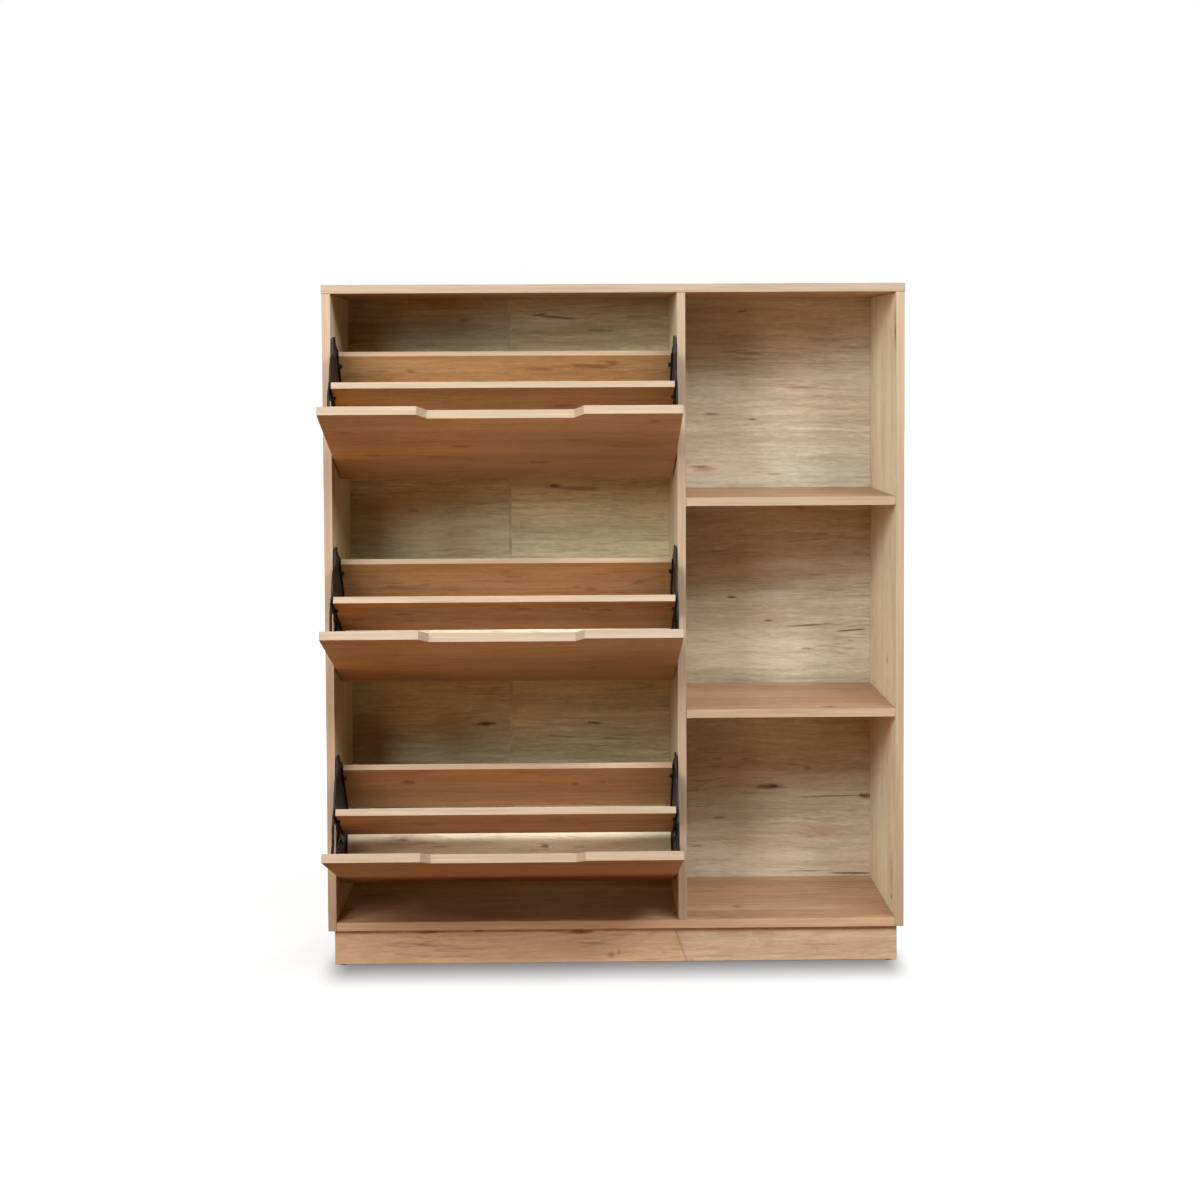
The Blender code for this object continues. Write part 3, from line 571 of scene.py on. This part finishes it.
def plastic(name, colour, roughness, metallic=0.0, shine=0.5):
    """A plain mottled finish, for steel too where metallic says so."""
    material, g, shader = new_material(name)
    place = g.add("ShaderNodeTexCoord").outputs["Object"]
    fine = g.noise(g.scaled(place, (1800.0, 1800.0, 1800.0)), 2.0)
    broad = g.noise(g.scaled(place, (35.0, 35.0, 35.0)), 3.0)
    darker = shade(*[part * DARKER for part in colour])
    lighter = shade(*[part * LIGHTER for part in colour])
    tone = g.mix(g.ease(broad, 0.3, 0.7), darker, lighter)
    shares = (g.math("MULTIPLY", fine, FINE_SHARE), g.math("MULTIPLY", broad, 1.0 - FINE_SHARE))
    rough = g.ease(g.math("ADD", *shares), 0.3, 0.7, roughness - ROUGH_SWING, roughness + ROUGH_SWING)
    bump = g.add("ShaderNodeBump", {"Strength": 0.2, "Distance": 0.0001, "Height": fine})
    g.tree.links.new(tone, shader.inputs["Base Color"])
    g.tree.links.new(rough, shader.inputs["Roughness"])
    g.tree.links.new(bump.outputs[0], shader.inputs["Normal"])
    shader.inputs["Metallic"].default_value = metallic
    shader.inputs["Specular IOR Level"].default_value = shine
    return material


# ---------------------------------------------------------------- finishes of the nodes
# How far the racks are tilted open at rest, and how the mid and rear boards lean in a shut rack
RACK_OPEN = math.radians(70.0)
MID_LEAN = math.radians(5.0)
REAR_LEAN = math.radians(27.0)
RACK_NUMBERS = (1, 2, 3)

ACROSS_X = Vector((1, 0, 0))
ACROSS_Y = Vector((0, 1, 0))
ACROSS_Z = Vector((0, 0, 1))

# The boards of the carcass: node, grain direction, the way across the board, foil
CARCASS = (
    ("side_panel_left", "Z", ACROSS_X, "side"),
    ("side_panel_right", "Z", ACROSS_X, "pale"),
    ("divider_panel", "Z", ACROSS_X, "side"),
    ("top_panel", "X", ACROSS_Z, "warm"),
    ("bottom_panel", "X", ACROSS_Z, "warm"),
    ("shelf_upper", "X", ACROSS_Z, "warm"),
    ("shelf_lower", "X", ACROSS_Z, "warm"),
    ("back_panel_left", "X", ACROSS_Y, "back_left"),
    ("back_panel_middle", "X", ACROSS_Y, "back_left"),
    ("back_panel_right", "X", ACROSS_Y, "back"),
    ("plinth_front", "X", ACROSS_Y, "plinth"),
    ("plinth_rear", "X", ACROSS_Y, "plinth"),
    ("plinth_end_left", "Y", ACROSS_X, "plinth"),
    ("plinth_end_right", "Y", ACROSS_X, "plinth"),
    ("plinth_cross", "Y", ACROSS_X, "plinth"),
)


def finish_node(name, material):
    for slot in NODES[name].material_slots:
        slot.link = "OBJECT"
        slot.material = material


def turned(u, w):
    """A direction of the shut rack's (u, w) section, as it lies with the rack open."""
    cos, sin = math.cos(RACK_OPEN), math.sin(RACK_OPEN)
    return Vector((0.0, u * cos - w * sin, u * sin + w * cos))


def rack_boards(number):
    """A rack's four boards, in the same form as CARCASS."""
    mid_across = turned(math.cos(MID_LEAN), -math.sin(MID_LEAN))
    rear_across = turned(math.cos(REAR_LEAN), -math.sin(REAR_LEAN))
    return (
        (f"rack_{number}_door", "X", turned(1, 0), "door"),
        (f"rack_{number}_mid_board", "X", mid_across, "rack"),
        (f"rack_{number}_rear_board", "X", rear_across, "rack"),
        (f"rack_{number}_floor_board", "X", turned(0, 1), "lining"),
    )


def finish_nodes():
    boards = list(CARCASS)
    for number in RACK_NUMBERS:
        boards += rack_boards(number)
    for seed, (name, along, thickness, face) in enumerate(boards, 1):
        finish_node(name, oak(name, along, seed, thickness, face))
    for number in RACK_NUMBERS:
        for side in ("left", "right"):
            frame_finish = plastic(f"frame_{number}_{side}", FRAME_BLACK, 0.5, shine=FRAME_SHINE)
            plate_finish = plastic(f"plate_{number}_{side}", STEEL, 0.38, metallic=0.9)
            finish_node(f"rack_{number}_frame_{side}", frame_finish)
            finish_node(f"pivot_plate_{number}_{side}", plate_finish)
    for place in ("front_left", "front_right", "rear_left", "rear_right"):
        finish_node(f"glide_{place}", plastic(f"glide_{place}", GLIDE_BLACK, 0.5))
    finish_node("back_joint_strip", plastic("joint_strip", STRIP_CREAM, 0.5))


# ---------------------------------------------------------------- floor
# Half the floor's width, metres
FLOOR_HALF = 30.0
# Where the floor starts and stops brightening, metres from the middle, and its glow there
GLOW_FROM = 0.7
GLOW_TO = 1.9
GLOW_NEAR = 0.75
GLOW_FAR = 1.1
FLOOR_TONE = 0.30
# The contact shadow's strength at the first distance from the plinth's front and rear lines: at the
# second distance it is gone
SHADOW_FROM = -0.02
SHADOW_TO = 0.155
SHADOW_STRENGTH = 0.75
# Between these distances past the plinth's ends the shadow fades in
FADE_OUTSIDE = 0.035
FADE_INSIDE = -0.03


def make_stage():
    """A white floor that shows only a contact shadow and brightens into the backdrop."""
    mesh = bpy.data.meshes.new("floor")
    corners = [(x * FLOOR_HALF, y * FLOOR_HALF, 0) for x, y in ((-1, -1), (1, -1), (1, 1), (-1, 1))]
    mesh.from_pydata(corners, [], [(0, 1, 2, 3)])
    floor = bpy.data.objects.new("floor", mesh)
    bpy.context.scene.collection.objects.link(floor)
    material, g, shader = new_material("floor")
    place = g.add("ShaderNodeTexCoord").outputs["Object"]
    bare = g.ease(g.length(place), GLOW_FROM, GLOW_TO, GLOW_NEAR, GLOW_FAR)
    # The soft dark line where the plinth's front and rear meet the floor, fading out past its ends
    low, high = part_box("plinth_front")[0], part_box("plinth_rear")[1]
    x, y, _ = g.separate(place)
    gaps = [g.math("ABSOLUTE", g.math("SUBTRACT", y, line)) for line in (low.y, high.y)]
    near = g.ease(g.math("MINIMUM", *gaps), SHADOW_FROM, SHADOW_TO, SHADOW_STRENGTH, 0.0)
    from_middle = g.math("ABSOLUTE", g.math("SUBTRACT", x, (low.x + high.x) / 2))
    past_end = g.math("SUBTRACT", from_middle, (high.x - low.x) / 2)
    within = g.ease(past_end, FADE_OUTSIDE, FADE_INSIDE)
    open_air = g.math("SUBTRACT", 1.0, g.math("MULTIPLY", near, within))
    tone = g.math("MULTIPLY", open_air, FLOOR_TONE)
    g.tree.links.new(g.combine(tone, tone, tone), shader.inputs["Base Color"])
    g.tree.links.new(g.math("MULTIPLY", bare, open_air), shader.inputs["Emission Strength"])
    shader.inputs["Roughness"].default_value = 0.9
    shader.inputs["Specular IOR Level"].default_value = 0.0
    shader.inputs["Emission Color"].default_value = shade(1.0, 1.0, 1.0)
    material.cycles.emission_sampling = "NONE"
    mesh.materials.append(material)
    floor.visible_diffuse = False
    floor.visible_glossy = False
    floor.visible_shadow = False


# ---------------------------------------------------------------- lights
# Softboxes around the front: degrees from straight ahead (positive is right), height in metres, watts
SOFTBOXES = (
    (-50.0, 2.1, 4.0),
    (-50.0, 1.6, 22.0),
    (-50.0, 1.0, 6.0),
    (-28.0, 2.1, 29.0),
    (-28.0, 1.6, 8.0),
    (-8.0, 3.0, 5.0),
    (-8.0, 2.4, 11.0),
    (12.0, 2.6, 18.0),
    (32.0, 2.6, 40.0),
    (55.0, 3.1, 36.0),
)
SOFTBOX_SIZE = 0.75
SOFTBOX_DISTANCE = 2.7
# Warm light thrown back up by the floor: azimuth and elevation in degrees, strength, colour
BOUNCES = (
    ("bounce_left", -78.0, -40.0, 0.70, (1.0, 0.55, 0.18)),
    ("bounce_front", -10.0, -40.0, 0.235, (1.0, 0.50, 0.29)),
    ("bounce_under", -10.0, -70.0, 0.28, (1.0, 0.73, 0.77)),
)
BOUNCE_SPREAD = math.radians(30.0)
# Two low warm boxes: azimuth in degrees, watts, colour
LOW_BOUNCES = (
    ("bounce_low_left", -22.0, 5.3, (1.0, 0.30, 0.0)),
    ("bounce_low_right", 30.0, 4.1, (1.0, 0.565, 0.36)),
)
LOW_BOUNCE_HEIGHT = 0.3
FILL_SIZE = 1.6
WHITE = (1.0, 1.0, 1.0)
CREAM = (1.0, 0.92, 0.80)
AIM = Vector((0.0, 0.0, 0.6))


def add_light(name, kind, place, energy, colour, size):
    """A light turned to AIM. size is metres for an area light and radians for a sun."""
    data = bpy.data.lights.new(name, kind)
    data.energy = energy
    data.color = colour
    if kind == "AREA":
        data.shape = "SQUARE"
        data.size = size
    else:
        data.angle = size
    light = bpy.data.objects.new(name, data)
    bpy.context.scene.collection.objects.link(light)
    light.location = place
    light.rotation_euler = (AIM - place).to_track_quat("-Z", "Y").to_euler()
    light.visible_camera = False


def around(azimuth, distance, height):
    """The place at that height and distance, azimuth degrees from straight ahead."""
    turn = math.radians(azimuth)
    return Vector((distance * math.sin(turn), -distance * math.cos(turn), height))


def make_world():
    """A white backdrop that gives almost no light."""
    world = bpy.data.worlds.new("studio")
    bpy.context.scene.world = world
    world.use_nodes = True
    g = Graph(world.node_tree)
    background = world.node_tree.nodes["Background"]
    seen = g.add("ShaderNodeLightPath").outputs["Is Camera Ray"]
    sky = g.mix(seen, shade(0.004, 0.004, 0.004), shade(1.0, 1.0, 1.0))
    world.node_tree.links.new(sky, background.inputs["Color"])


def make_lights():
    for number, (azimuth, height, watts) in enumerate(SOFTBOXES, 1):
        place = around(azimuth, SOFTBOX_DISTANCE, height)
        add_light(f"softbox_{number}", "AREA", place, watts, WHITE, SOFTBOX_SIZE)
    # These two stand behind the cabinet, for its outer sides, top and back
    add_light("rear_fill", "AREA", Vector((0.6, 3.4, 1.9)), 80.0, WHITE, FILL_SIZE)
    add_light("right_fill", "AREA", Vector((3.3, 1.3, 1.7)), 45.0, CREAM, FILL_SIZE)
    for name, azimuth, lift, strength, colour in BOUNCES:
        rise = math.radians(lift)
        place = AIM + around(azimuth, math.cos(rise), math.sin(rise))
        add_light(name, "SUN", place, strength, colour, BOUNCE_SPREAD)
    for name, azimuth, watts, colour in LOW_BOUNCES:
        place = around(azimuth, SOFTBOX_DISTANCE, LOW_BOUNCE_HEIGHT)
        add_light(name, "AREA", place, watts, colour, SOFTBOX_SIZE)


make_camera()
finish_nodes()
make_stage()
make_world()
make_lights()
bpy.context.scene.view_settings.view_transform = "Standard"
